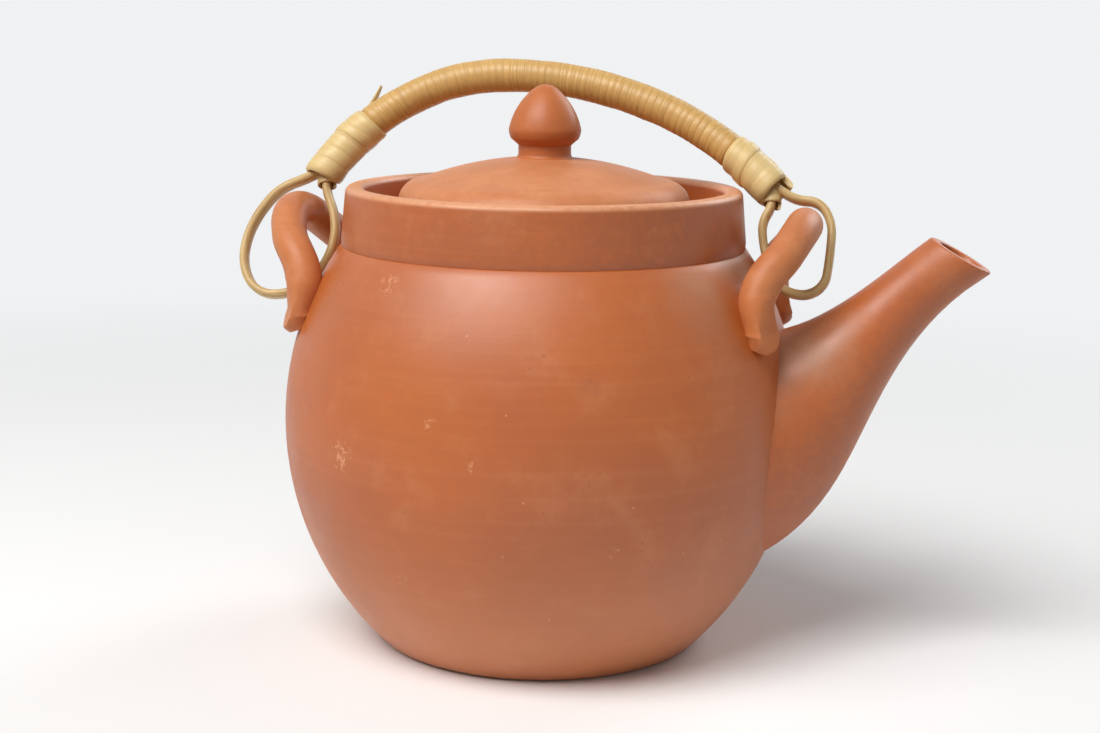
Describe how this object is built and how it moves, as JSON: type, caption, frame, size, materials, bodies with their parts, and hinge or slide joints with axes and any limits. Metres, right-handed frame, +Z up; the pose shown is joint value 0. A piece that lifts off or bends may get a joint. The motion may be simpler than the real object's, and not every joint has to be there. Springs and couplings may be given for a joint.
{
  "type": "clay teapot with cane bail",
  "caption": "Round unglazed clay teapot with a straight spout, a sunken domed lid with an acorn knob, and a swinging cane-wrapped bail handle looped through clay lugs.",
  "frame": {"origin": "middle of the flat base, on the table", "axes": "+Z up, +X towards the spout, +Y towards the side that the bail leans to"},
  "size_m": [0.1477, 0.1004, 0.1134],
  "materials": {
    "clay": "unglazed, burnished satin",
    "cane": "natural dried cane"
  },
  "bodies": {
    "pot": {"base_disc": "clay", "lower_body": "clay", "upper_body": "clay", "collar": "clay", "lid_seat_ring": "clay", "spout": "clay", "spout_side_lug": "clay", "rear_lug": "clay"},
    "lid": {"lid_dome": "clay", "lid_neck_ring": "clay", "knob": "clay"},
    "bail": {"core_rod": "cane", "grip_wrap": "cane", "spout_side_binding": "cane", "rear_binding": "cane", "spout_side_loop": "cane", "rear_loop": "cane", "rear_wrap_tail": "cane"}
  },
  "joints": [
    {"name": "bail_swing", "type": "hinge", "parent": "pot", "child": "bail", "pos_m": [0, 0, 0.072], "axis": [1, 0, 0], "range_deg": [-3, 53]},
    {"name": "lid_lift", "type": "slide", "parent": "pot", "child": "lid", "axis": [0, 0, 1], "range_m": [0, 0.008]}
  ]
}
